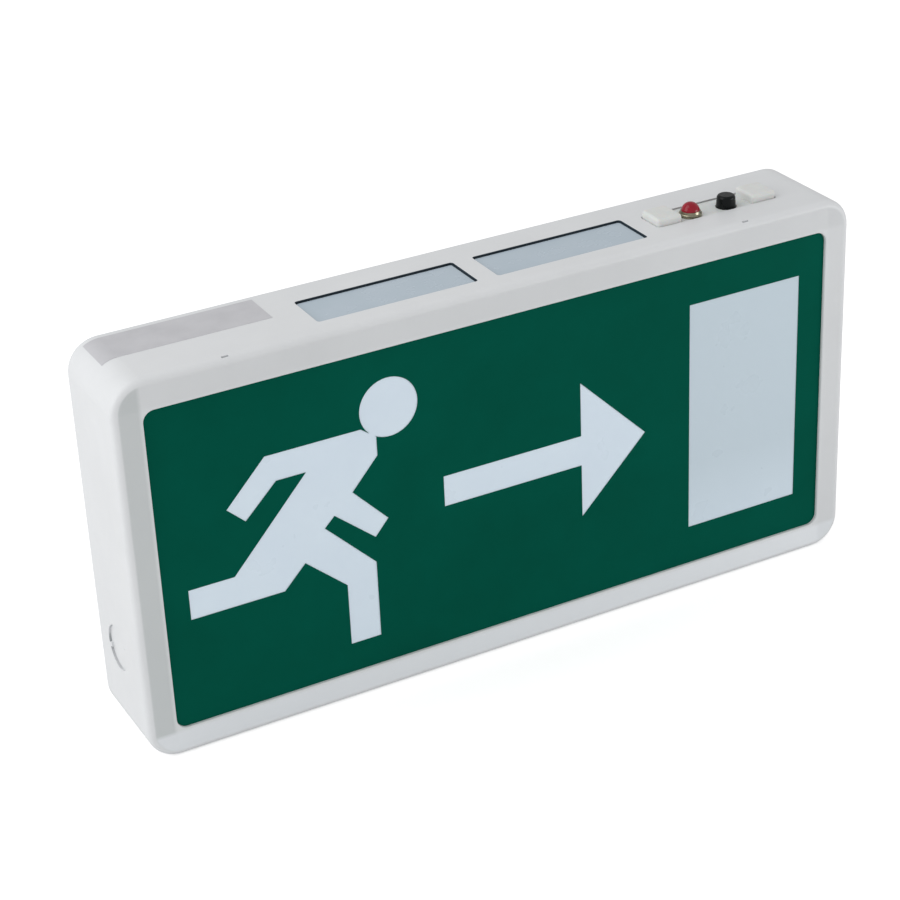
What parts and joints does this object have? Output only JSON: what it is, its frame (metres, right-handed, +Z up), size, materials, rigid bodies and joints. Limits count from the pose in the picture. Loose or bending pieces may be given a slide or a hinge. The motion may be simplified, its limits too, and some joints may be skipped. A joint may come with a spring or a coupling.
{
  "type": "emergency exit light",
  "caption": "Slim wall-mounted emergency exit sign box with a green running-figure legend, opal top windows, red indicator and black test button.",
  "frame": {"origin": "under the middle of the casing, on the surface that it stands on, midway between front and back", "axes": "+X along the length, to the right as the legend is read; the legend faces -Y and the wall is at +Y; +Z up"},
  "size_m": [0.357, 0.05, 0.1842],
  "materials": {
    "casing_white": "fine-textured moulded ABS, slightly satin",
    "legend_green": "translucent green film",
    "opal_panel": "opal acrylic, softly glossy",
    "opal_pane": "opal acrylic pane",
    "insert_white": "natural nylon",
    "indicator_red": "tinted epoxy",
    "bezel_metal": "bright plated ring",
    "button_black": "glossy black",
    "spring_steel": "drawn wire",
    "board_green": "solder resist",
    "switch_black": "moulded",
    "screw_zinc": "zinc plated",
    "label_silver": "satin metallised film, blank",
    "tray_white": "moulded ABS",
    "grommet_rubber": "soft black rubber",
    "reflector_white": "white stoved enamel",
    "lamp_glass": "phosphor-coated glass",
    "lamp_aluminium": "drawn cap",
    "holder_white": "moulded polycarbonate",
    "battery_sleeve": "shrunk sleeve",
    "clip_steel": "spring steel",
    "core_ferrite": "ground ferrite",
    "coil_tape": "wound tape",
    "sink_aluminium": "extruded",
    "capacitor_sleeve": "shrunk sleeve",
    "terminal_white": "moulded nylon",
    "terminal_brass": "nickel-free brass"
  },
  "bodies": {
    "tray": {"gear_tray": "tray_white", "cable_grommet": "grommet_rubber", "reflector": "reflector_white", "reflector_screws": "screw_zinc", "lamp_tube": "lamp_glass", "lamp_cap_left": "lamp_aluminium", "lamp_cap_right": "lamp_aluminium", "lampholder_left": "holder_white", "lampholder_right": "holder_white", "holder_screws": "screw_zinc", "battery_pack": "battery_sleeve", "battery_clip_left": "clip_steel", "battery_clip_right": "clip_steel", "clip_screws": "screw_zinc", "gear_board": "board_green", "gear_screws": "screw_zinc", "transformer_core": "core_ferrite", "transformer_coil": "coil_tape", "heat_sink": "sink_aluminium", "capacitors": "capacitor_sleeve", "terminal_block": "terminal_white", "terminal_screws": "terminal_brass"},
    "cover": {"cover_shell": "casing_white", "legend_film": "legend_green", "diffuser_panel": "opal_panel", "window_pane_left": "opal_pane", "window_pane_right": "opal_pane", "control_insert": "insert_white", "led_lens": "indicator_red", "led_bezel": "bezel_metal", "led_spacer": "switch_black", "button_spring": "spring_steel", "control_board": "board_green", "test_switch": "switch_black", "board_screws": "screw_zinc", "rating_label": "label_silver"},
    "button": {"test_button": "button_black"}
  },
  "joints": [
    {"name": "cover_pull", "type": "slide", "parent": "tray", "child": "cover", "axis": [0, -1, 0], "range_m": [0, 0.06]},
    {"name": "button_push", "type": "slide", "parent": "cover", "child": "button", "axis": [0, 0, -1], "range_m": [0, 0.0015], "stiffness_N_per_m": 400, "springref_m": -0.002, "deforming": ["button_spring"]}
  ]
}
